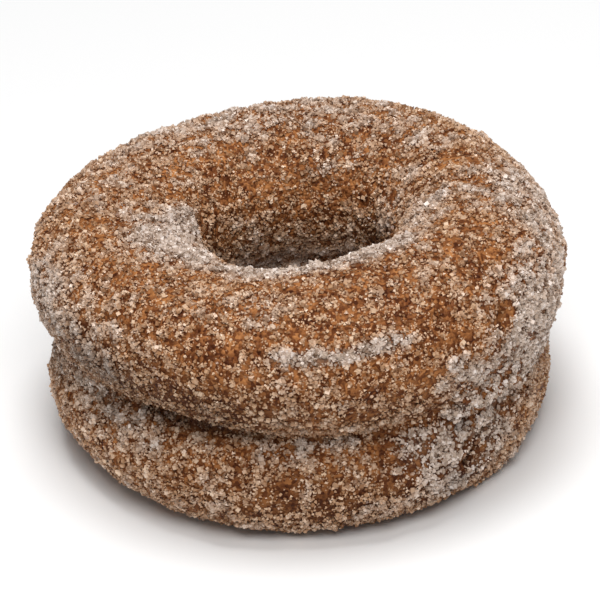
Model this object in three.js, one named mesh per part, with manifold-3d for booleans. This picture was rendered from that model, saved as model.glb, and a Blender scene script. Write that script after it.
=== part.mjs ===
// A ring doughnut of fried cake dough, rolled in cinnamon sugar and lying flat.
// It is one piece: a fat ring whose section has two lobes, because each side swells on its own while
// it lies in the hot fat, with a seam between them that fades at the left and fades out at the right
// front. Crags, pits and broad unevenness are worked into the surface, and the largest clumps of the
// sugar coat are fused to it.
// Millimetres, +Z up. The ring lies on its flat underside, centred on the origin.
import * as THREE from "three";
import { mergeVertices } from "three/addons/utils/BufferGeometryUtils.js";
import Module from "manifold-3d";

// Driving dimensions
const OUTER_DIAMETER = 84;
const HOLE_DIAMETER = 27;
const HEIGHT = 40;

// How finely the ring is divided, round its axis and round its section
const STEPS_AROUND = 112;
const STEPS_SECTION = 38;

// The ring's section, in the plane of radius r and height z. Each lobe is two half ellipses.
const RING_RADIUS = (OUTER_DIAMETER + HOLE_DIAMETER) / 4;
const HALF_WIDTH = (OUTER_DIAMETER - HOLE_DIAMETER) / 4;
const SECTION = { r: RING_RADIUS, z: 18 };
const CROWN = { r: RING_RADIUS, z: 0.7 * HEIGHT, halfWidth: HALF_WIDTH, rise: 0.3 * HEIGHT, drop: 13.3 };
const CROWN_DROP_AT_HOLE = 12.2; // the crown turns under sooner on the side towards the hole
const BASE = { r: RING_RADIUS + 0.7, z: 9.3, halfWidth: HALF_WIDTH - 1.9, rise: 9, drop: 10.5 };
const SEAM = { r: RING_RADIUS - 0.6, z: 17, halfWidth: HALF_WIDTH - 5.3, rise: 10, drop: 10 };
const SEAM_SHALLOWER = 1.8; // added to the seam's half width at the two sides, taken off front and back
const MERGED = [ // where the lobes run together; fill is added to the seam's half width, on the outer side
  { around: 318, up: 0, aroundSpread: 52, upSpread: 180, fill: 4.3 },
  { around: 184, up: 0, aroundSpread: 40, upSpread: 180, fill: 0.6 },
];
const LOBE_BLEND = 0.3; // how softly one lobe runs into the next
const CREASE = { up: -10, upSpread: 11, depth: 0.9, patches: 15 }; // cut along the outer seam, in patches
const CREASE_FOLLOWS = 6; // degrees that the crease climbs for each millimetre that the base rises

// Uneven growth: each wave has a size in millimetres, a count round the ring and a place in degrees
const SPREAD_WAVES = [
  { size: 0.4, count: 1, at: 270 },
  { size: 0.35, count: 2, at: 90 },
  { size: 0.55, count: 3, at: 52 },
  { size: 0.45, count: 4, at: 65 },
];
const SPREAD_AT_HOLE = 0.4; // share of those waves that reaches the side towards the hole
const BASE_RISE_WAVES = [
  { size: 0.5, count: 2, at: 200 },
  { size: 0.4, count: 5, at: 12 },
];
const BASE_SWELL = { around: 234, up: 0, aroundSpread: 52, upSpread: 180 }; // where the base is fattest
const SWELL_RISE = 1.6;
const SWELL_LIFT = 2; // how far the crown's underside is pushed up there
const HEIGHT_WAVES = [
  { size: 0.2, count: 1, at: 300 },
  { size: 0.25, count: 2, at: 315 },
];

// Lumps in the crust: how far they stand out, and how wide they are
const LUMPS = [
  { size: 0.45, width: 12 },
  { size: 0.3, width: 5 },
];
const GRAIN_RELIEF = 0.26; // the sugar coat, as fine relief

// Places on the ring: around in degrees from +X, up in degrees from straight outwards, both ways
// to the edge of the feature. A depth below zero is a swelling.
const DENTS = [
  { around: 348, up: -27, aroundSpread: 66, upSpread: 46, depth: 4.2 }, // the base is narrower at the right
  { around: 324, up: -50, aroundSpread: 34, upSpread: 34, depth: 1.8 },
  { around: 16, up: 38, aroundSpread: 75, upSpread: 60, depth: 2 },
  { around: 176, up: 46, aroundSpread: 42, upSpread: 46, depth: -1.2 }, // both lobes are wider at the left
  { around: 186, up: -10, aroundSpread: 50, upSpread: 44, depth: -1.6 },
  { around: 234, up: 116, aroundSpread: 68, upSpread: 62, depth: 1.5 }, // the hole is wider at the left front
  { around: 190, up: 158, aroundSpread: 60, upSpread: 48, depth: 3.4 }, // and steeper at the left
];
const CRAGS = { around: 311, up: -8, aroundSpread: 25, upSpread: 46, size: 1.4, width: 3 };
const LEDGE = { around: 274, up: 60, aroundSpread: 20, upSpread: 9, depth: 0.6 };
const PITS = [
  { around: 306, up: -22, radius: 1.5, depth: 1.3 },
  { around: 313, up: -24, radius: 1.4, depth: 1.1 },
  { around: 306, up: -37, radius: 1.6, depth: 1.1 },
  { around: 315, up: 45, radius: 1.9, depth: 0.9 },
  { around: 302, up: 45, radius: 1.8, depth: 0.5 },
  { around: 138, up: 20, radius: 1.7, depth: 0.9 },
  { around: 62, up: -30, radius: 1.6, depth: 0.9 },
];

// The largest clumps of sugar, fused to the ring where the coat is thickest
const CLUMP_COUNT = 72;
const CLUMP_RADIUS = { least: 0.9, most: 1.7 };
const CLUMP_THICKNESS = 0.55; // of its width, because a clump lies flat against the crust
const CLUMP_SPACING = 3.4;
const CLUMP_CLEARANCE = 2.5; // above the surface that the ring lies on
const CLUMP_SEED = 20;
const THICK_COAT = [
  { around: 240, up: 104, aroundSpread: 75, upSpread: 16 },
  { around: 340, up: 112, aroundSpread: 40, upSpread: 16 },
  { around: 190, up: 35, aroundSpread: 30, upSpread: 30 },
  { around: 345, up: 45, aroundSpread: 35, upSpread: 25 },
  { around: 312, up: -14, aroundSpread: 30, upSpread: 30 },
];
const THIN_COAT = 0.12; // share of the clumps that land elsewhere

const CRUST_COLOUR = 0x9c5f35;
const CRUST_ROUGHNESS = 0.75;

const FULL_TURN = 2 * Math.PI;
const radians = THREE.MathUtils.degToRad;

// Signed angle between two directions in degrees, from -180 to 180.
function turnBetween(a, b) {
  return THREE.MathUtils.euclideanModulo(a - b + 180, 360) - 180;
}

// A fixed number from -1 to 1 for each point of a whole-number lattice.
function latticeValue(x, y, z) {
  let h = (Math.imul(x, 374761393) + Math.imul(y, 668265263) + Math.imul(z, 974634777)) | 0;
  h = Math.imul(h ^ (h >>> 13), 1274126177);
  return (((h ^ (h >>> 16)) >>> 0) / 0xffffffff) * 2 - 1;
}

// Smooth noise from -1 to 1 whose lumps are about width across.
function noise(point, width) {
  const cell = point.map((value) => Math.floor(value / width));
  const within = point.map((value, k) => THREE.MathUtils.smoothstep(value / width - cell[k], 0, 1));
  let sum = 0;
  for (let corner = 0; corner < 8; corner++) {
    const step = [corner & 1, (corner >> 1) & 1, corner >> 2];
    const weight = step.reduce((w, s, k) => w * (s ? within[k] : 1 - within[k]), 1);
    sum += weight * latticeValue(cell[0] + step[0], cell[1] + step[1], cell[2] + step[2]);
  }
  return sum;
}

// A seeded source of numbers from 0 to 1.
function randomSource(seed) {
  let state = seed;
  return () => {
    state = (state + 0x6d2b79f5) | 0;
    let t = Math.imul(state ^ (state >>> 15), 1 | state);
    t = (t + Math.imul(t ^ (t >>> 7), 61 | t)) ^ t;
    return ((t ^ (t >>> 14)) >>> 0) / 4294967296;
  };
}

// Distance from the section's centre to a lobe's outline, in the direction angle.
function lobeReach(lobe, angle) {
  const x = SECTION.r - lobe.r;
  const z = SECTION.z - lobe.z;
  const [cos, sin] = [Math.cos(angle), Math.sin(angle)];
  const reach = (tall) => {
    const a = (cos / lobe.halfWidth) ** 2 + (sin / tall) ** 2;
    const b = (x * cos) / lobe.halfWidth ** 2 + (z * sin) / tall ** 2;
    const c = (x / lobe.halfWidth) ** 2 + (z / tall) ** 2 - 1;
    return (Math.sqrt(Math.max(b * b - a * c, 0)) - b) / a;
  };
  const upper = reach(lobe.rise);
  return z + upper * sin >= 0 ? upper : reach(lobe.drop);
}

// The largest of several lengths, blended where two are alike.
function softLargest(lengths) {
  const top = Math.max(...lengths);
  const sum = lengths.reduce((total, length) => total + Math.exp((length - top) / LOBE_BLEND), 0);
  return top + LOBE_BLEND * Math.log(sum);
}

// Height of a smooth hill, 1 in the middle of a feature and 0 beyond its edge.
function hill(feature, around, up) {
  const across = turnBetween(around, feature.around) / feature.aroundSpread;
  const along = turnBetween(up, feature.up) / feature.upSpread;
  return THREE.MathUtils.smoothstep(1 - Math.hypot(across, along), 0, 1);
}

function waves(list, around) {
  return list.reduce((sum, w) => sum + w.size * Math.cos(radians(w.count * (around - w.at))), 0);
}

// How much higher than usual the base has risen at a place round the ring.
function baseRise(around) {
  return waves(BASE_RISE_WAVES, around) + SWELL_RISE * hill(BASE_SWELL, around, 0);
}

// The point of the plain lobes at a place on the ring, moved outwards along the section by relief.
function ringPoint(around, up, relief) {
  const angle = radians(up);
  const outwards = (1 + Math.cos(angle)) / 2;
  const drop = THREE.MathUtils.lerp(CROWN_DROP_AT_HOLE, CROWN.drop, outwards);
  const crown = { ...CROWN, drop: drop - SWELL_LIFT * outwards * hill(BASE_SWELL, around, 0) };
  const base = { ...BASE, rise: BASE.rise + baseRise(around) };
  const fill = outwards * MERGED.reduce((sum, place) => sum + place.fill * hill(place, around, 0), 0);
  const seam = { ...SEAM, halfWidth: SEAM.halfWidth + SEAM_SHALLOWER * Math.cos(radians(2 * around)) + fill };
  const reach = softLargest([crown, base, seam].map((lobe) => lobeReach(lobe, angle))) + relief;
  const share = THREE.MathUtils.lerp(SPREAD_AT_HOLE, 1, outwards);
  const radius = SECTION.r + share * waves(SPREAD_WAVES, around) + reach * Math.cos(angle);
  const level = SECTION.z + reach * Math.sin(angle);
  const height = level * (1 + waves(HEIGHT_WAVES, around) / HEIGHT);
  return [radius * Math.cos(radians(around)), radius * Math.sin(radians(around)), height];
}

// Where the crease lies in the section. It follows the base as that swells and sinks round the ring.
function creaseAngle(around) {
  return CREASE.up + CREASE_FOLLOWS * baseRise(around);
}

// How far the crust stands out of the plain lobes at a place.
function crustRelief(around, up) {
  const plain = ringPoint(around, up, 0);
  let relief = LUMPS.reduce((sum, lump) => sum + lump.size * noise(plain, lump.width), 0);
  relief += CRAGS.size * noise(plain, CRAGS.width) * hill(CRAGS, around, up);
  for (const dent of [...DENTS, LEDGE]) relief -= dent.depth * hill(dent, around, up);
  const offCrease = Math.abs(turnBetween(up, creaseAngle(around))) / CREASE.upSpread;
  const crease = THREE.MathUtils.smoothstep(1 - offCrease, 0, 1);
  const patchy = 0.75 + 0.5 * noise(plain, CREASE.patches);
  const open = MERGED.reduce((share, place) => share * (1 - hill(place, around, 0)), 1);
  relief -= CREASE.depth * patchy * crease * open * (1 - hill(CRAGS, around, up));
  for (const pit of PITS) {
    const centre = new THREE.Vector3(...ringPoint(pit.around, pit.up, 0));
    const away = new THREE.Vector3(...plain).distanceTo(centre);
    relief -= pit.depth * THREE.MathUtils.smoothstep(1 - away / pit.radius, 0, 1);
  }
  return relief;
}

function surfacePoint(around, up, grain = 0) {
  const [x, y, z] = ringPoint(around, up, crustRelief(around, up) + grain);
  return new THREE.Vector3(x, y, Math.max(z, 0));
}

// The direction straight out of the surface at a place.
function surfaceNormal(around, up) {
  const along = surfacePoint(around, up + 1).sub(surfacePoint(around, up - 1));
  const across = surfacePoint(around + 1, up).sub(surfacePoint(around - 1, up));
  return across.cross(along).normalize();
}

// The ring as a closed grid of triangles facing out.
function ringGeometry() {
  const grain = randomSource(CLUMP_SEED + 1);
  const positions = [];
  const faces = [];
  for (let i = 0; i < STEPS_AROUND; i++) {
    for (let j = 0; j < STEPS_SECTION; j++) {
      const around = (360 * (i + (j % 2) / 2)) / STEPS_AROUND;
      const row = (360 * j) / STEPS_SECTION;
      const nearCrease = (1 + Math.cos(radians(row - CREASE.up))) / 2;
      const up = row + (creaseAngle(around) - CREASE.up) * nearCrease;
      const point = surfacePoint(around, up, GRAIN_RELIEF * (2 * grain() - 1));
      positions.push(...point.toArray());
    }
  }
  const at = (i, j) => (i % STEPS_AROUND) * STEPS_SECTION + (j % STEPS_SECTION);
  for (let i = 0; i < STEPS_AROUND; i++) {
    for (let j = 0; j < STEPS_SECTION; j++) {
      const [a, b, c, d] = [at(i, j), at(i + 1, j), at(i, j + 1), at(i + 1, j + 1)];
      if (j % 2) faces.push(a, b, d, a, d, c);
      else faces.push(a, b, c, b, d, c);
    }
  }
  const geometry = new THREE.BufferGeometry();
  geometry.setAttribute("position", new THREE.Float32BufferAttribute(positions, 3));
  geometry.setIndex(faces);
  return geometry;
}

// One rough sugar clump about the origin, lying flat against a surface with the given normal.
function clumpGeometry(radius, normal, random) {
  const geometry = new THREE.IcosahedronGeometry(radius, 0);
  geometry.deleteAttribute("normal");
  geometry.deleteAttribute("uv");
  const clump = mergeVertices(geometry, 1e-3);
  const place = clump.getAttribute("position");
  for (let k = 0; k < place.count; k++) {
    const swell = 0.8 + 0.4 * random();
    place.setXYZ(k, place.getX(k) * swell, place.getY(k) * swell, place.getZ(k) * swell);
  }
  clump.rotateX(FULL_TURN * random());
  clump.rotateY(FULL_TURN * random());
  clump.scale(1, 1, CLUMP_THICKNESS);
  clump.applyQuaternion(new THREE.Quaternion().setFromUnitVectors(new THREE.Vector3(0, 0, 1), normal));
  return clump;
}

// Clumps of sugar where the coat is thick, a few elsewhere, none crowded and none near the base.
function sugarClumps() {
  const random = randomSource(CLUMP_SEED);
  const centres = [];
  const clumps = [];
  while (clumps.length < CLUMP_COUNT) {
    const around = 360 * random();
    const up = 360 * random();
    const coat = Math.max(THIN_COAT, ...THICK_COAT.map((patch) => hill(patch, around, up)));
    const lands = random() < coat;
    const centre = surfacePoint(around, up);
    const crowded = centres.some((other) => other.distanceTo(centre) < CLUMP_SPACING);
    if (!lands || crowded || centre.z < CLUMP_CLEARANCE) continue;
    const radius = THREE.MathUtils.lerp(CLUMP_RADIUS.least, CLUMP_RADIUS.most, random() ** 2);
    centres.push(centre);
    const clump = clumpGeometry(radius, surfaceNormal(around, up), random);
    clumps.push(clump.translate(centre.x, centre.y, centre.z));
  }
  return clumps;
}

const wasm = await Module();
wasm.setup();

function solidFrom(geometry) {
  return new wasm.Manifold(
    new wasm.Mesh({
      numProp: 3,
      vertProperties: new Float32Array(geometry.getAttribute("position").array),
      triVerts: new Uint32Array(geometry.getIndex().array),
    }),
  );
}

function geometryFrom(solid) {
  const { vertProperties, triVerts } = solid.getMesh();
  const geometry = new THREE.BufferGeometry();
  geometry.setAttribute("position", new THREE.BufferAttribute(vertProperties, 3));
  geometry.setIndex(new THREE.BufferAttribute(triVerts, 1));
  return geometry;
}

const fused = sugarClumps().reduce((body, clump) => body.add(solidFrom(clump)), solidFrom(ringGeometry()));
const geometry = geometryFrom(fused);
geometry.computeBoundingBox();
const middle = geometry.boundingBox.getCenter(new THREE.Vector3());
geometry.translate(-middle.x, -middle.y, -geometry.boundingBox.min.z);
geometry.computeVertexNormals();

const crust = new THREE.MeshStandardMaterial({
  color: CRUST_COLOUR,
  roughness: CRUST_ROUGHNESS,
  metalness: 0,
});
const doughnut = new THREE.Mesh(geometry, crust);
doughnut.name = "ring_doughnut";

const part = new THREE.Group();
part.add(doughnut);
export default part;
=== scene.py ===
# A ring doughnut of fried cake dough in a thick coat of cinnamon sugar, lying on a plain pale floor.
# The crust follows the frame's solid, remeshed finely, with small bumps, cracks and pits added.
# The sugar is many thousands of separate crystals, laid on the crust by seeded draws.
import math

import bmesh
import bpy
import numpy as np
from mathutils import Matrix, Vector, noise


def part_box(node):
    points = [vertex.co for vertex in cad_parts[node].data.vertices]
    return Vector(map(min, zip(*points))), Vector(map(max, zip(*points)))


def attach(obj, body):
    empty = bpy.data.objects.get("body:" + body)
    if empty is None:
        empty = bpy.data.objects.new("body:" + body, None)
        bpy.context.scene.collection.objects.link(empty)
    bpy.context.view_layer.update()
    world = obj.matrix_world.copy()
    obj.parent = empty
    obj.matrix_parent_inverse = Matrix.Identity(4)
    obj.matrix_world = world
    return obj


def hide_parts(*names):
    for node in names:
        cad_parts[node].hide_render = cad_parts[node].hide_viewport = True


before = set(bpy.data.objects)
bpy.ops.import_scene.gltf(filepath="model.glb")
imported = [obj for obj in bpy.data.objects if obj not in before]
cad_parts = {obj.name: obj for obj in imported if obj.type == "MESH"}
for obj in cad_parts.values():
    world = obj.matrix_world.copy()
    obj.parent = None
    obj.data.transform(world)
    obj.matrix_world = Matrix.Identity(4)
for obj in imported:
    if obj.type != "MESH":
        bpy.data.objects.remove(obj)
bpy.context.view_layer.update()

NODE = "ring_doughnut"
MM = 0.001
LOW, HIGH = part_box(NODE)
WIDTH = HIGH.x - LOW.x
HEIGHT = HIGH.z - LOW.z

# The middle of the ring's section, from the frame's box. The ring is fatter at the left, so that
# the axis of its hole is a little off the middle of the box.
AXIS_X = 0.0075 * WIDTH
RING_RADIUS = 0.33 * WIDTH
SECTION_HEIGHT = 0.44 * HEIGHT

# The crust: how finely it is remeshed, and the bumps, cracks and pores of its skin. Each kind of
# lump has an offset of its own in the noise, so that no two kinds fall together.
WELD = 0.001 * MM  # corners nearer than this are joined
VOXEL = 0.66 * MM
SMOOTHING = {"factor": 0.5, "rounds": 4}
SINK = 0.35 * MM  # the crust lies this far inside the solid, which is the outside of the sugar
BUMPS = [
    {"height": 0.2 * MM, "width": 3.2 * MM, "offset": 0},
    {"height": 0.14 * MM, "width": 1.5 * MM, "offset": 1},
]
CRACKS = {"depth": 0.9 * MM, "width": 3.4 * MM, "offset": 5}
CRACK_SHARPNESS = 2.5  # the higher, the narrower the cracks
CRACK_ONSET = 2  # how steeply the cracks set in from the edge of the crags
CRACK_BARENESS = 2.5  # how strongly a crack keeps the sugar off
PORES = {"count": 70, "radius": 1.3 * MM, "depth": 0.45 * MM, "seed": 8}
FLAT_FADE = 1.2 * MM  # below this height the relief fades out, so that the ring lies flat

# Places on the ring: around in degrees from +X, up in degrees from straight outwards in the section.
# Each has how far it reaches both ways in degrees, or a radius.
CRAGS = {"around": 311, "up": -10, "around_reach": 27, "up_reach": 56}
HOLLOWS = [
    {"around": 315, "up": 45, "radius": 2.1 * MM, "depth": 1.2 * MM},
    {"around": 302, "up": 45, "radius": 1.7 * MM, "depth": 0.4 * MM},
    {"around": 319, "up": 32, "radius": 1.5 * MM, "depth": 0.7 * MM},
    {"around": 307, "up": -38, "radius": 2.2 * MM, "depth": 1.5 * MM},
    {"around": 306, "up": -20, "radius": 1.8 * MM, "depth": 2.2 * MM},
    {"around": 312, "up": -25, "radius": 1.5 * MM, "depth": 0.8 * MM},
]

# The coat of sugar, about 1 where it hides most of the crust. Thick sugar adds its gain to the coat,
# and bare crust makes the coat thinner by a factor of e to the power of its gain.
COAT = 0.5  # where nothing else is said
THICK_SUGAR = [
    # the rim of the hole
    {"around": 207, "up": 104, "around_reach": 32, "up_reach": 30, "gain": 2.2},
    {"around": 192, "up": 121, "around_reach": 26, "up_reach": 16, "gain": 0.9},
    {"around": 262, "up": 105, "around_reach": 60, "up_reach": 18, "gain": 2.2},
    {"around": 300, "up": 101, "around_reach": 34, "up_reach": 14, "gain": 2.0},
    {"around": 342, "up": 112, "around_reach": 32, "up_reach": 20, "gain": 0.8},
    # the left side
    {"around": 192, "up": 38, "around_reach": 15, "up_reach": 28, "gain": 1.2},
    {"around": 212, "up": 44, "around_reach": 24, "up_reach": 28, "gain": 0.7},
    # the right side
    {"around": 356, "up": 64, "around_reach": 44, "up_reach": 50, "gain": 1.0},
    {"around": 327, "up": 32, "around_reach": 24, "up_reach": 44, "gain": 1.1},
    {"around": 318, "up": 36, "around_reach": 11, "up_reach": 24, "gain": 1.0},
    # the ledge across the front
    {"around": 268, "up": 50, "around_reach": 12, "up_reach": 6, "gain": 2.8},
    {"around": 276, "up": 49, "around_reach": 10, "up_reach": 5, "gain": 1.6},
    {"around": 286, "up": 50, "around_reach": 10, "up_reach": 5, "gain": 2.3},
    # smaller places, set by laying renders beside the photograph
    {"around": 307, "up": 20, "around_reach": 18, "up_reach": 18, "gain": 1.0},
    {"around": 323, "up": 6, "around_reach": 16, "up_reach": 20, "gain": 1.2},
    {"around": 257, "up": 74, "around_reach": 10, "up_reach": 10, "gain": 0.8},
    {"around": 311, "up": 52, "around_reach": 4, "up_reach": 7, "gain": 1.2},
    {"around": 268, "up": -15, "around_reach": 16, "up_reach": 9, "gain": 1.0},
    {"around": 195, "up": 46, "around_reach": 14, "up_reach": 15, "gain": 0.9},
    {"around": 147, "up": 77, "around_reach": 14, "up_reach": 12, "gain": 0.6},
    {"around": 301, "up": 35, "around_reach": 4, "up_reach": 6, "gain": 1.8},
    {"around": 306, "up": -26, "around_reach": 30, "up_reach": 36, "gain": 1.5},
    {"around": 330, "up": -14, "around_reach": 18, "up_reach": 30, "gain": 1.2},
    {"around": 208, "up": -12, "around_reach": 44, "up_reach": 30, "gain": 0.8},
    {"around": 168, "up": 84, "around_reach": 20, "up_reach": 18, "gain": 0.4},
    {"around": 95, "up": 88, "around_reach": 70, "up_reach": 34, "gain": 0.6},
    {"around": 36, "up": 95, "around_reach": 22, "up_reach": 16, "gain": 0.6},
    {"around": 20, "up": 128, "around_reach": 28, "up_reach": 20, "gain": 0.8},
    {"around": 358, "up": 66, "around_reach": 12, "up_reach": 14, "gain": 0.8},
    {"around": 100, "up": 176, "around_reach": 85, "up_reach": 34, "gain": 1.2},
    {"around": 74, "up": 122, "around_reach": 16, "up_reach": 11, "gain": 1.1},
    {"around": 294, "up": 68, "around_reach": 9, "up_reach": 10, "gain": 0.4},
    {"around": 310, "up": 87, "around_reach": 7, "up_reach": 7, "gain": 1.0},
    {"around": 246, "up": 72, "around_reach": 6, "up_reach": 6, "gain": 0.6},
    {"around": 259, "up": 65, "around_reach": 6, "up_reach": 7, "gain": 1.0},
    {"around": 59, "up": 115, "around_reach": 8, "up_reach": 8, "gain": 0.9},
    {"around": 306, "up": -3, "around_reach": 9, "up_reach": 11, "gain": 2.0},
    {"around": 312, "up": -30, "around_reach": 9, "up_reach": 15, "gain": 3.0},
    {"around": 278, "up": -14, "around_reach": 12, "up_reach": 8, "gain": 1.0},
    {"around": 292, "up": -20, "around_reach": 8, "up_reach": 14, "gain": 0.7},
    {"around": 306, "up": -46, "around_reach": 10, "up_reach": 12, "gain": 2.2},
    {"around": 311, "up": -27, "around_reach": 6, "up_reach": 8, "gain": 4.0},
    {"around": 208, "up": -8, "around_reach": 14, "up_reach": 9, "gain": 1.4},
    {"around": 201, "up": 54, "around_reach": 8, "up_reach": 10, "gain": 0.8},
    {"around": 178, "up": 121, "around_reach": 16, "up_reach": 12, "gain": 1.6},
    # the hidden back
    {"around": 130, "up": 50, "around_reach": 60, "up_reach": 40, "gain": 0.5},
    {"around": 60, "up": -20, "around_reach": 70, "up_reach": 40, "gain": 0.8},
]
BARE_CRUST = [
    {"around": 16, "up": 95, "around_reach": 12, "up_reach": 15, "gain": 3.0},
    {"around": 328, "up": 74, "around_reach": 16, "up_reach": 14, "gain": 0.8},
    {"around": 332, "up": 83, "around_reach": 9, "up_reach": 9, "gain": 1.8},
    {"around": 318, "up": 82, "around_reach": 7, "up_reach": 8, "gain": 1.6},
    {"around": 271, "up": 63, "around_reach": 7, "up_reach": 7, "gain": 0.8},
    {"around": 39, "up": 150, "around_reach": 9, "up_reach": 9, "gain": 0.8},
    {"around": 283, "up": -15, "around_reach": 7, "up_reach": 8, "gain": 0.8},
    {"around": 303, "up": 63, "around_reach": 20, "up_reach": 15, "gain": 0.4},
    {"around": 174, "up": 91, "around_reach": 8, "up_reach": 8, "gain": 0.5},
    {"around": 307, "up": 50, "around_reach": 6, "up_reach": 9, "gain": 0.8},
    {"around": 302, "up": 46, "around_reach": 7, "up_reach": 8, "gain": 2.5},
    {"around": 315, "up": 45, "around_reach": 4, "up_reach": 9, "gain": 6.0},
    {"around": 307, "up": -38, "around_reach": 6, "up_reach": 11, "gain": 5.0},
    {"around": 306, "up": -20, "around_reach": 5, "up_reach": 7, "gain": 6.0},
    {"around": 90, "up": 126, "around_reach": 58, "up_reach": 28, "gain": 0.8},
    {"around": 70, "up": 144, "around_reach": 10, "up_reach": 8, "gain": 0.8},
    {"around": 254, "up": 56, "around_reach": 22, "up_reach": 16, "gain": 0.8},
    {"around": 286, "up": 62, "around_reach": 22, "up_reach": 11, "gain": 0.7},
    {"around": 250, "up": 40, "around_reach": 14, "up_reach": 12, "gain": 0.9},
    {"around": 322, "up": 66, "around_reach": 7, "up_reach": 9, "gain": 2.0},
    {"around": 297, "up": -42, "around_reach": 7, "up_reach": 11, "gain": 0.5},
    {"around": 287, "up": -36, "around_reach": 12, "up_reach": 13, "gain": 0.9},
    {"around": 286, "up": 36, "around_reach": 18, "up_reach": 11, "gain": 0.9},
    {"around": 238, "up": 8, "around_reach": 40, "up_reach": 20, "gain": 1.3},
    {"around": 282, "up": -11, "around_reach": 26, "up_reach": 9, "gain": 0.3},
    {"around": 75, "up": -10, "around_reach": 70, "up_reach": 8, "gain": 1.0},
]

# How clean and white the sugar looks grows with its coat, from one amount of it to another. The
# places add their gain to that, and so do chance and the crowd, the noise that makes the clusters.
CLEANNESS = {"from": 0.6, "to": 2.0, "chance": 0.2, "crowd": 0.2}
CLEAN_SUGAR = [
    {"around": 95, "up": 92, "around_reach": 80, "up_reach": 30, "gain": 0.15},
    {"around": 100, "up": 174, "around_reach": 85, "up_reach": 34, "gain": -0.4},
    {"around": 182, "up": 121, "around_reach": 26, "up_reach": 16, "gain": 0.5},
    {"around": 306, "up": -26, "around_reach": 30, "up_reach": 36, "gain": 0.9},
    {"around": 312, "up": 12, "around_reach": 20, "up_reach": 30, "gain": 0.5},
    {"around": 326, "up": 20, "around_reach": 28, "up_reach": 60, "gain": 0.4},
]

# Painted shade: the share by which crust and sugar are painted nearer to the colour of deep shade,
# mostly in the seam, in the hollows and in the corners of the hole
PAINTED_SHADE_COLOUR = (0.035, 0.010, 0.005, 1)
PAINTED_SHADE_PLACES = [
    {"around": 226, "up": 24, "around_reach": 44, "up_reach": 36, "crust": 0.75, "sugar": 0.2},
    {"around": 213, "up": 32, "around_reach": 20, "up_reach": 26, "crust": 0.3, "sugar": 0.3},
    {"around": 252, "up": 18, "around_reach": 30, "up_reach": 28, "crust": 0.75, "sugar": 0.25},
    {"around": 287, "up": 14, "around_reach": 26, "up_reach": 28, "crust": 0.6, "sugar": 0.15},
    {"around": 280, "up": -10, "around_reach": 34, "up_reach": 12, "crust": 0.2, "sugar": 0.0},
    {"around": 242, "up": 0, "around_reach": 36, "up_reach": 16, "crust": 0.85, "sugar": 0.7},
    {"around": 216, "up": -14, "around_reach": 12, "up_reach": 9, "crust": 0.3, "sugar": 0.25},
    {"around": 280, "up": -48, "around_reach": 80, "up_reach": 40, "crust": 0.7, "sugar": 0.05},
    {"around": 308, "up": -14, "around_reach": 30, "up_reach": 44, "crust": 0.35, "sugar": 0.0},
    {"around": 315, "up": 45, "around_reach": 6, "up_reach": 12, "crust": 0.3, "sugar": 0.1},
    {"around": 306, "up": -20, "around_reach": 5, "up_reach": 7, "crust": 0.9, "sugar": 0.9},
    {"around": 158, "up": 144, "around_reach": 12, "up_reach": 12, "crust": 0.25, "sugar": 0.25},
    {"around": 32, "up": 145, "around_reach": 20, "up_reach": 18, "crust": 0.6, "sugar": 0.4},
    {"around": 41, "up": 154, "around_reach": 9, "up_reach": 10, "crust": 0.3, "sugar": 0.35},
    {"around": 302, "up": -45, "around_reach": 13, "up_reach": 13, "crust": 0.3, "sugar": 0.25},
    {"around": 221, "up": 30, "around_reach": 14, "up_reach": 12, "crust": 0.4, "sugar": 0.3},
    {"around": 189, "up": -14, "around_reach": 14, "up_reach": 14, "crust": 0.4, "sugar": 0.3},
    {"around": 60, "up": -8, "around_reach": 90, "up_reach": 16, "crust": 0.5, "sugar": 0.1},
    {"around": 150, "up": -4, "around_reach": 60, "up_reach": 16, "crust": 0.5, "sugar": 0.1},
]

# Chance in the coat: wide and narrow clouds of more and less sugar, and clusters of crystals. For
# each crystal several places are tried, and those inside clusters are the likelier to be kept.
COAT_CLOUDS = [
    {"strength": 1.0, "width": 7 * MM, "offset": 9},
    {"strength": 1.9, "width": 2.4 * MM, "offset": 10},
]
CLUSTERS = {"strength": 2.4, "width": 1.15 * MM, "offset": 20, "tries": 4}
COAT_LEAST = 0.06
COAT_MOST = 3
UNDERSIDE = {"share": 0.4, "height": 2 * MM}  # share of the coat left at the floor, all from there up

# Crystals: how many, how wide, and their form
CRYSTALS = [
    {"name": "sugar_large", "count": 9000, "width": 0.52 * MM, "form": "block", "seed": 1},
    {"name": "sugar_medium", "count": 24500, "width": 0.43 * MM, "form": "wedge", "seed": 2},
    {"name": "sugar_small", "count": 24500, "width": 0.37 * MM, "form": "wedge", "seed": 3},
    {"name": "sugar_fine", "count": 38000, "width": 0.32 * MM, "form": "shard", "seed": 4},
    {"name": "sugar_shards", "count": 48500, "width": 0.4 * MM, "form": "shard", "seed": 5},
]
WIDTH_SPREAD = 0.22  # crystals differ in width by this share each way
SIDES = (0.7, 1.2)  # least and most length of each side of a crystal, in its widths
CORNERS = (0.75, 1.1)  # least and most share of its distance from the middle for each corner
WEDGE_RADIUS = 0.6
RAISED = 0.15  # the middle of a crystal lies this share of its width above the crust
PILED = 0.45  # further share that chance may add, times the coat there
PILED_COAT = 1.5  # the most coat that counts for that
TINT = {"least": 0.06, "chance": 0.88, "crowd": 0.45}  # how light each crystal is on the ramps below

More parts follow.
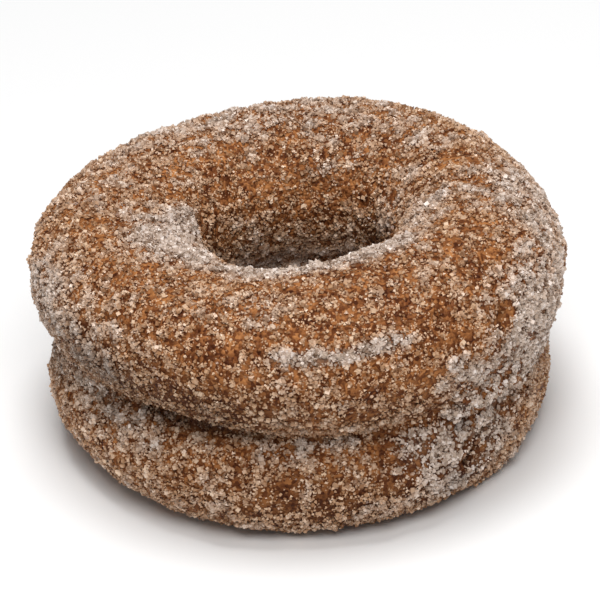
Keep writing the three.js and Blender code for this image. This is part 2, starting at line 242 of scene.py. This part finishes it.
# Colours. A list gives the colours along a ramp, each with its position.
BROWNED = [(0.38, (0.055, 0.014, 0.005)), (0.62, (0.18, 0.057, 0.018))]
GOLDEN = [(0.38, (0.18, 0.057, 0.018)), (0.62, (0.47, 0.195, 0.066))]
DUSTED_SUGAR = [
    (0.0, (0.22, 0.085, 0.03)),
    (0.3, (0.44, 0.23, 0.11)),
    (0.7, (0.66, 0.405, 0.24)),
    (1.0, (0.86, 0.61, 0.41)),
]
WHITE_SUGAR = [
    (0.0, (0.24, 0.145, 0.09)),
    (0.35, (0.55, 0.42, 0.33)),
    (0.75, (0.76, 0.62, 0.525)),
    (1.0, (0.92, 0.8, 0.725)),
]
SPECK_COLOUR = (0.66, 0.42, 0.26, 1)
FILM_COLOUR = (0.24, 0.17, 0.13, 1)

# The crust's browning: wide patches, and grains that are each browned or golden
PATCHES = {"width": 4 * MM, "detail": 4, "roughness": 0.8}
GRAINS = {"width": 0.5 * MM, "from": 0.34, "to": 0.66, "relief": 0.3 * MM, "strength": 0.8}

# Sugar dust, finer than the crystals: pale specks on the crust, which come and go in drifts, and a
# pale film on the zones where the coat is thick, which grows from one amount of coat to another
SPECKS = {"width": 0.24 * MM, "radius": 0.62, "share": 0.55}
DRIFTS = {"width": 1.8 * MM, "detail": 2, "from": 0.45, "to": 0.7}
FILM = {"from": 1.2, "to": 3.2, "share": 0.5}

# What the shaders are set to
CRUST_SURFACE = {"Roughness": 0.4, "Specular IOR Level": 0.05}
SUGAR_SURFACE = {
    "Roughness": 0.2,
    "IOR": 1.5,
    "Specular IOR Level": 0.3,
    "Transmission Weight": 0.12,
}
FLOOR_SURFACE = {"Base Color": (0.95, 0.95, 0.95, 1), "Roughness": 0.8}

# Floor and lights
FLOOR_HALF = 3.0
LIGHTS = [
    {"name": "key", "place": (0, 0, 1), "size": 0.5, "power": 6.1},
    {"name": "front", "place": (0.06, -0.6, 0.8), "size": 0.5, "power": 4.8},
]
WORLD_COLOUR = (1, 1, 1, 1)
WORLD_STRENGTH = 0.22

# Camera: its height above the floor's plane as an angle, its lean, and how it frames the ring
ELEVATION = 28.9
LEAN = -4.1
CAMERA_DISTANCE = 0.6
FRAME_FILL = 0.898
SENSOR = 36

# Blender's own name for a material's shader, and where its mix node has the factor, both colours
# and the result
SHADER = "Principled BSDF"
MIX_INPUTS = (0, 6, 7)
MIX_OUTPUT = 2


def degrees_apart(a, b):
    return (a - b + 180) % 360 - 180


def ring_angles(points):
    """Where points are on the ring: degrees around its axis, and degrees up in its section."""
    across = points[:, 0] - AXIS_X
    radius = np.hypot(across, points[:, 1])
    around = np.degrees(np.arctan2(points[:, 1], across))
    up = np.degrees(np.arctan2(points[:, 2] - SECTION_HEIGHT, radius - RING_RADIUS))
    return around, up


def smooth_rise(t):
    """From 0 to 1 as t goes from 0 to 1, level at both ends."""
    t = np.clip(t, 0, 1)
    return t * t * (3 - 2 * t)


def hill(place, around, up):
    """A smooth hill over a place on the ring, 1 in its middle and 0 beyond its reach."""
    across = degrees_apart(around, place["around"]) / place["around_reach"]
    along = degrees_apart(up, place["up"]) / place["up_reach"]
    return smooth_rise(1 - np.hypot(across, along))


def clouds(points, kind):
    """Smooth noise from about -1 to 1, with lumps as wide as the kind says."""
    shift = Vector((1, 2, 3)) * kind["offset"]
    return np.array([noise.noise(Vector(p) / kind["width"] + shift) for p in points])


def link(name, data):
    obj = bpy.data.objects.new(name, data)
    bpy.context.scene.collection.objects.link(obj)
    return obj


def points_of(mesh):
    points = np.empty(len(mesh.vertices) * 3)
    mesh.vertices.foreach_get("co", points)
    return points.reshape(-1, 3)


def normals_of(mesh):
    normals = np.empty(len(mesh.vertices) * 3)
    mesh.vertex_normals.foreach_get("vector", normals)
    return normals.reshape(-1, 3)


def set_values(mesh, values):
    """Write named values at the mesh's points, for its material to read."""
    for name, value in values.items():
        mesh.attributes.new(name, "FLOAT", "POINT").data.foreach_set("value", value)
    mesh.update()


def remeshed_solid():
    """The frame's solid with an even, fine and softened skin."""
    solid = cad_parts[NODE].data.copy()
    joined = bmesh.new()
    joined.from_mesh(solid)
    bmesh.ops.remove_doubles(joined, verts=joined.verts, dist=WELD)
    joined.to_mesh(solid)
    joined.free()
    obj = link("crust_source", solid)
    remesh = obj.modifiers.new("even", "REMESH")
    remesh.mode = "VOXEL"
    remesh.voxel_size = VOXEL
    smooth = obj.modifiers.new("soften", "SMOOTH")
    smooth.factor = SMOOTHING["factor"]
    smooth.iterations = SMOOTHING["rounds"]
    evaluated = obj.evaluated_get(bpy.context.evaluated_depsgraph_get())
    mesh = bpy.data.meshes.new_from_object(evaluated)
    bpy.data.objects.remove(obj)
    mesh.materials.clear()
    return mesh


def place_on(points, around, up, feature):
    """The point of the mesh nearest in angle to a feature's place."""
    across = degrees_apart(around, feature["around"])
    along = degrees_apart(up, feature["up"])
    return points[np.argmin(across ** 2 + along ** 2)]


def hollow(points, centre, feature):
    """How deep a round hollow is at each point."""
    away = np.linalg.norm(points - centre, axis=1) / feature["radius"]
    return feature["depth"] * smooth_rise(1 - away)


def cracks(points, around, up):
    """From 0 to 1, how deep each point is in the network of cracks in the crags."""
    lines = np.clip(1 - CRACK_SHARPNESS * np.abs(clouds(points, CRACKS)), 0, 1)
    return lines * np.clip(CRACK_ONSET * hill(CRAGS, around, up), 0, 1)


def crust_mesh():
    mesh = remeshed_solid()
    points = points_of(mesh)
    normals = normals_of(mesh)
    around, up = ring_angles(points)
    relief = sum(bump["height"] * clouds(points, bump) for bump in BUMPS)
    relief -= CRACKS["depth"] * cracks(points, around, up)
    for feature in HOLLOWS:
        relief -= hollow(points, place_on(points, around, up, feature), feature)
    random = np.random.default_rng(PORES["seed"])
    for centre in points[random.integers(len(points), size=PORES["count"])]:
        relief -= hollow(points, centre, PORES)
    relief *= np.clip(points[:, 2] / FLAT_FADE, 0, 1)
    points = points + normals * (relief - SINK)[:, None]
    points[:, 2] = np.maximum(points[:, 2], 0)
    mesh.vertices.foreach_set("co", points.ravel())
    mesh.polygons.foreach_set("use_smooth", [True] * len(mesh.polygons))
    around, up = ring_angles(points)
    film = (coat_of_zones(around, up) - FILM["from"]) / (FILM["to"] - FILM["from"])
    # the attribute light carries the painted shade on the crust
    set_values(mesh, {
        "light": painted_shade_lightness(around, up, "crust"),
        "film": FILM["share"] * np.clip(film, 0, 1),
    })
    return mesh


def painted_shade_lightness(around, up, what):
    """Painted shade: how light the crust or the sugar is, 1 in the open, less in the seam and down
    the hole.
    """
    light = np.ones(len(around))
    for place in PAINTED_SHADE_PLACES:
        light *= 1 - place[what] * hill(place, around, up)
    return light


def coat_of_zones(around, up):
    """How much sugar lies at each place, by the zones of thick sugar and bare crust alone."""
    coat = np.full(len(around), COAT)
    for place in THICK_SUGAR:
        coat += place["gain"] * hill(place, around, up)
    for place in BARE_CRUST:
        coat *= np.exp(-place["gain"] * hill(place, around, up))
    return coat


def coat_density(points):
    """How much sugar lies at each point, with chance, cracks and the underside in it too."""
    around, up = ring_angles(points)
    coat = coat_of_zones(around, up)
    for cloud in COAT_CLOUDS:
        coat *= np.exp(cloud["strength"] * clouds(points, cloud))
    coat *= np.exp(-CRACK_BARENESS * cracks(points, around, up))
    under = np.clip(1 - points[:, 2] / UNDERSIDE["height"], 0, 1)
    return np.clip(coat, COAT_LEAST, COAT_MOST) * (1 - (1 - UNDERSIDE["share"]) * under)


def scattered_places(mesh, count, random):
    """Random places on the mesh, more of them where the coat is thick or crystals cluster.

    Gives each place, its normal, its coat and how far inside a cluster it is.
    """
    mesh.calc_loop_triangles()
    corners = np.empty(len(mesh.loop_triangles) * 3, int)
    mesh.loop_triangles.foreach_get("vertices", corners)
    corners = corners.reshape(-1, 3)
    points = points_of(mesh)
    normals = normals_of(mesh)
    a, b, c = points[corners[:, 0]], points[corners[:, 1]], points[corners[:, 2]]
    area = np.linalg.norm(np.cross(b - a, c - a), axis=1) / 2
    coat = coat_density(points)[corners].mean(1)
    share = np.cumsum(area * coat)
    tries = CLUSTERS["tries"] * count
    chosen = np.searchsorted(share, random.random(tries) * share[-1])
    s = random.random(tries)
    t = random.random(tries)
    outside = s + t > 1
    s[outside] = 1 - s[outside]
    t[outside] = 1 - t[outside]
    place = a[chosen] + s[:, None] * (b - a)[chosen] + t[:, None] * (c - a)[chosen]
    crowd = clouds(place, CLUSTERS)
    liking = np.exp(CLUSTERS["strength"] * crowd)
    kept = np.argsort(random.exponential(size=tries) / liking)[:count]
    place, chosen, crowd = place[kept], chosen[kept], crowd[kept]
    normal = normals[corners[chosen]].mean(1)
    normal /= np.linalg.norm(normal, axis=1)[:, None]
    return place, normal, coat[chosen], crowd


def random_turns(count, random):
    """As many random rotation matrices, from random unit quaternions."""
    q = random.normal(size=(count, 4))
    q /= np.linalg.norm(q, axis=1)[:, None]
    w, x, y, z = q.T
    rows = [
        [1 - 2 * (y * y + z * z), 2 * (x * y - w * z), 2 * (x * z + w * y)],
        [2 * (x * y + w * z), 1 - 2 * (x * x + z * z), 2 * (y * z - w * x)],
        [2 * (x * z - w * y), 2 * (y * z + w * x), 1 - 2 * (x * x + y * y)],
    ]
    return np.array(rows).transpose(2, 0, 1)


def unit_form(form):
    """Corners and faces of one crystal, about 1 wide: a block, a wedge or a shard of four faces."""
    if form == "block":
        corners = np.array([(x, y, z) for x in (-1, 1) for y in (-1, 1) for z in (-1, 1)]) / 2
        faces = [(0, 1, 3, 2), (4, 6, 7, 5), (0, 4, 5, 1), (2, 3, 7, 6), (0, 2, 6, 4), (1, 5, 7, 3)]
        return corners, faces
    if form == "wedge":
        angles = [2 * math.pi / 3 * k for k in range(3)]
        ring = [(WEDGE_RADIUS * math.cos(angle), WEDGE_RADIUS * math.sin(angle)) for angle in angles]
        corners = np.array([(x, y, z) for z in (-0.5, 0.5) for x, y in ring])
        faces = [(0, 2, 1), (3, 4, 5)] + [(k, (k + 1) % 3, (k + 1) % 3 + 3, k + 3) for k in range(3)]
        return corners, faces
    corners = np.array([(1, 1, 1), (1, -1, -1), (-1, 1, -1), (-1, -1, 1)]) / 2
    faces = [(0, 1, 2), (0, 3, 1), (0, 2, 3), (1, 3, 2)]
    return corners, faces


def crystals(kind, crust):
    """One kind of crystal, scattered over the crust as one joined mesh."""
    random = np.random.default_rng(kind["seed"])
    count = kind["count"]
    place, normal, coat, crowd = scattered_places(crust, count, random)
    corners, faces = unit_form(kind["form"])
    width = kind["width"] * (1 + WIDTH_SPREAD * random.uniform(-1, 1, (count, 1)))
    sides = width * random.uniform(*SIDES, (count, 3))
    local = corners[None] * sides[:, None] * random.uniform(*CORNERS, (count, len(corners), 1))
    turned = np.einsum("nij,nkj->nki", random_turns(count, random), local)
    lift = (RAISED + PILED * random.random(count) * np.clip(coat, 0, PILED_COAT)) * width[:, 0]
    centre = place + normal * lift[:, None]
    points = (turned + centre[:, None]).reshape(-1, 3)
    points[:, 2] = np.maximum(points[:, 2], 0)
    all_faces = []
    for face in faces:
        all_faces += (np.array(face) + np.arange(count)[:, None] * len(corners)).tolist()
    mesh = bpy.data.meshes.new(kind["name"])
    mesh.from_pydata(points, [], all_faces)
    around, up = ring_angles(place)
    clean = cleanness(around, up, coat, crowd, random)
    tint = TINT["least"] + TINT["chance"] * random.random(count) + TINT["crowd"] * crowd
    # the attribute light carries the painted shade on the sugar
    values = {"tint": np.clip(tint, 0, 1), "clean": clean, "light": painted_shade_lightness(around, up, "sugar")}
    set_values(mesh, {name: np.repeat(value, len(corners)) for name, value in values.items()})
    return link(kind["name"], mesh)


def cleanness(around, up, coat, crowd, random):
    """How clean each crystal is, from 0 to 1. Half of what the coat does goes by the zones alone."""
    coat = (coat + coat_of_zones(around, up)) / 2
    clean = (coat - CLEANNESS["from"]) / (CLEANNESS["to"] - CLEANNESS["from"])
    clean += CLEANNESS["chance"] * random.random(len(coat))
    for place in CLEAN_SUGAR:
        clean += place["gain"] * hill(place, around, up)
    return np.clip(clean + CLEANNESS["crowd"] * crowd, 0, 1)


def new_material(name, surface):
    """A material whose shader is set to the plain values of a surface."""
    material = bpy.data.materials.new(name)
    material.use_nodes = True
    shader = material.node_tree.nodes[SHADER]
    for socket, value in surface.items():
        shader.inputs[socket].default_value = value
    return material


def feed(tree, value, socket):
    """Link another node's output into a socket, or set the socket to a plain value."""
    if isinstance(value, bpy.types.NodeSocket):
        tree.links.new(value, socket)
    else:
        socket.default_value = value


def colour_ramp(tree, factor, stops):
    ramp = tree.nodes.new("ShaderNodeValToRGB")
    elements = ramp.color_ramp.elements
    while len(elements) < len(stops):
        elements.new(0.5)  # anywhere, as the next loop moves it
    for element, (position, colour) in zip(elements, stops):
        element.position = position
        element.color = (*colour, 1)
    tree.links.new(factor, ramp.inputs["Fac"])
    return ramp.outputs["Color"]


def grey_ramp(tree, factor, reach, most=1):
    """From 0 up to the most, as the factor goes through the reach."""
    return colour_ramp(tree, factor, [(reach["from"], (0, 0, 0)), (reach["to"], (most,) * 3)])


def noise_texture(tree, coordinates, width, detail, roughness=0.5):
    texture = tree.nodes.new("ShaderNodeTexNoise")
    texture.inputs["Scale"].default_value = 1 / width
    texture.inputs["Detail"].default_value = detail
    texture.inputs["Roughness"].default_value = roughness
    tree.links.new(coordinates, texture.inputs["Vector"])
    return texture.outputs["Fac"]


def cell_texture(tree, coordinates, width):
    texture = tree.nodes.new("ShaderNodeTexVoronoi")
    texture.inputs["Scale"].default_value = 1 / width
    tree.links.new(coordinates, texture.inputs["Vector"])
    return texture.outputs


def mix_colours(tree, factor, first, second):
    mix = tree.nodes.new("ShaderNodeMix")
    mix.data_type = "RGBA"
    for place, value in zip(MIX_INPUTS, (factor, first, second)):
        feed(tree, value, mix.inputs[place])
    return mix.outputs[MIX_OUTPUT]


def math_node(tree, operation, first, second):
    node = tree.nodes.new("ShaderNodeMath")
    node.operation = operation
    for socket, value in zip(node.inputs, (first, second)):
        feed(tree, value, socket)
    return node.outputs[0]


def attribute_value(tree, name):
    attribute = tree.nodes.new("ShaderNodeAttribute")
    attribute.attribute_name = name
    return attribute.outputs["Fac"]


def with_painted_shade(tree, colour):
    """The colour with painted shade: nearer to the colour of deep shade where the attribute light is
    less than 1.
    """
    return mix_colours(tree, attribute_value(tree, "light"), PAINTED_SHADE_COLOUR, colour)


def crust_material():
    material = new_material("fried_crust", CRUST_SURFACE)
    tree = material.node_tree
    shader = tree.nodes[SHADER]
    where = tree.nodes.new("ShaderNodeTexCoord").outputs["Object"]
    patches = noise_texture(tree, where, **PATCHES)
    grains = cell_texture(tree, where, GRAINS["width"])
    grain_share = grey_ramp(tree, grains["Color"], GRAINS)
    browned = colour_ramp(tree, patches, BROWNED)
    golden = colour_ramp(tree, patches, GOLDEN)
    colour = mix_colours(tree, grain_share, browned, golden)
    specks = cell_texture(tree, where, SPECKS["width"])
    drifts = noise_texture(tree, where, DRIFTS["width"], DRIFTS["detail"])
    speck_share = grey_ramp(tree, drifts, DRIFTS, SPECKS["share"])
    chosen = math_node(tree, "LESS_THAN", specks["Color"], speck_share)
    near = math_node(tree, "LESS_THAN", specks["Distance"], SPECKS["radius"])
    speck = math_node(tree, "MULTIPLY", chosen, near)
    colour = mix_colours(tree, speck, colour, SPECK_COLOUR)
    colour = mix_colours(tree, attribute_value(tree, "film"), colour, FILM_COLOUR)
    tree.links.new(with_painted_shade(tree, colour), shader.inputs["Base Color"])
    relief = tree.nodes.new("ShaderNodeBump")
    relief.invert = True
    relief.inputs["Strength"].default_value = GRAINS["strength"]
    relief.inputs["Distance"].default_value = GRAINS["relief"]
    tree.links.new(grains["Distance"], relief.inputs["Height"])
    tree.links.new(relief.outputs["Normal"], shader.inputs["Normal"])
    return material


def sugar_material():
    material = new_material("sugar", SUGAR_SURFACE)
    tree = material.node_tree
    tint = attribute_value(tree, "tint")
    dusted = colour_ramp(tree, tint, DUSTED_SUGAR)
    white = colour_ramp(tree, tint, WHITE_SUGAR)
    colour = mix_colours(tree, attribute_value(tree, "clean"), dusted, white)
    tree.links.new(with_painted_shade(tree, colour), tree.nodes[SHADER].inputs["Base Color"])
    return material


def floor_object():
    corners = [(-1, -1, 0), (1, -1, 0), (1, 1, 0), (-1, 1, 0)]
    mesh = bpy.data.meshes.new("floor")
    mesh.from_pydata([Vector(corner) * FLOOR_HALF for corner in corners], [], [(0, 1, 2, 3)])
    mesh.materials.append(new_material("floor", FLOOR_SURFACE))
    return link("floor", mesh)


def area_light(light):
    """A round lamp that points at the middle of the floor."""
    data = bpy.data.lights.new(light["name"], "AREA")
    data.shape = "DISK"
    data.size = light["size"]
    data.energy = light["power"]
    obj = link(light["name"], data)
    obj.location = light["place"]
    obj.rotation_euler = (-Vector(light["place"])).to_track_quat("-Z", "Y").to_euler()


def studio():
    world = bpy.data.worlds.new("studio")
    world.use_nodes = True
    background = world.node_tree.nodes["Background"]
    background.inputs["Color"].default_value = WORLD_COLOUR
    background.inputs["Strength"].default_value = WORLD_STRENGTH
    bpy.context.scene.world = world
    for light in LIGHTS:
        area_light(light)


def camera():
    data = bpy.data.cameras.new("camera")
    data.sensor_width = SENSOR
    data.lens = SENSOR * CAMERA_DISTANCE * FRAME_FILL / WIDTH
    target = Vector((0, 0, HEIGHT / 2))
    angle = math.radians(ELEVATION)
    back = Vector((0, -math.cos(angle), math.sin(angle)))
    look = (-back).to_track_quat("-Z", "Y").to_matrix().to_4x4()
    lean = Matrix.Rotation(math.radians(LEAN), 4, "Z")
    obj = link("camera", data)
    obj.matrix_world = Matrix.Translation(target + back * CAMERA_DISTANCE) @ look @ lean
    bpy.context.scene.camera = obj


def doughnut():
    crust = link("fried_crust", crust_mesh())
    crust.data.materials.append(crust_material())
    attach(crust, "root")
    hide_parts(NODE)
    sugar = sugar_material()
    for kind in CRYSTALS:
        piece = crystals(kind, crust.data)
        piece.data.materials.append(sugar)
        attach(piece, "root")


camera()
studio()
floor_object()
doughnut()
bpy.context.scene.view_settings.view_transform = "Standard"
